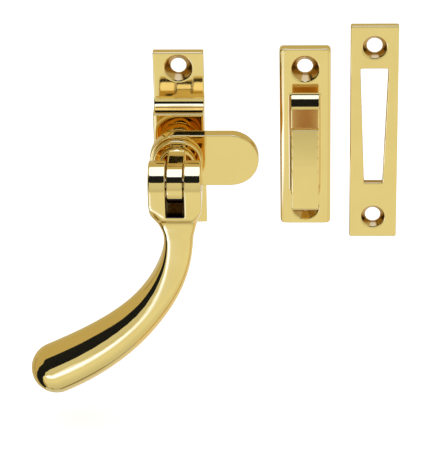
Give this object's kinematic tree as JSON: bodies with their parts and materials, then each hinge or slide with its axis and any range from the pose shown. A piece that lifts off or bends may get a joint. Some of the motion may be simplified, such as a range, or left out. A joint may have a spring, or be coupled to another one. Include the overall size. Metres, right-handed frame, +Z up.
{
  "type": "casement window fastener",
  "caption": "Reversible bulb-end casement fastener in polished brass, with a turning tongue, a knuckle-jointed handle, a hook plate and a mortice plate.",
  "frame": {"origin": "the fastener's turning axis where it meets the back face of its mounting plate", "axes": "+X to the right seen from the room, +Y into the window, +Z up; every plate's back lies in the plane Y = 0"},
  "size_m": [0.1178, 0.0426, 0.1136],
  "materials": {
    "polished_brass": "mirror polished and lacquered",
    "plain_brass": "plain turned, unpolished",
    "spring_steel": "oiled spring steel"
  },
  "bodies": {
    "plates": {"mounting_plate": "polished_brass", "hook_plate": "polished_brass", "mortice_plate": "polished_brass"},
    "turning_spindle": {"spacer_collar": "polished_brass", "tongue": "polished_brass", "boss_collar": "polished_brass", "spindle": "polished_brass", "spring_washer": "spring_steel", "rivet_washer": "plain_brass"},
    "flip_handle": {"handle": "polished_brass", "knuckle_pin": "polished_brass"}
  },
  "joints": [
    {"name": "tongue_turn", "type": "hinge", "parent": "plates", "child": "turning_spindle", "pos_m": [0, 0, 0], "axis": [0, -1, 0], "continuous": true},
    {"name": "handle_flip", "type": "hinge", "parent": "turning_spindle", "child": "flip_handle", "pos_m": [0, -0.0344, 0], "axis": [-1, 0, 0], "range_deg": [0, 180]}
  ]
}
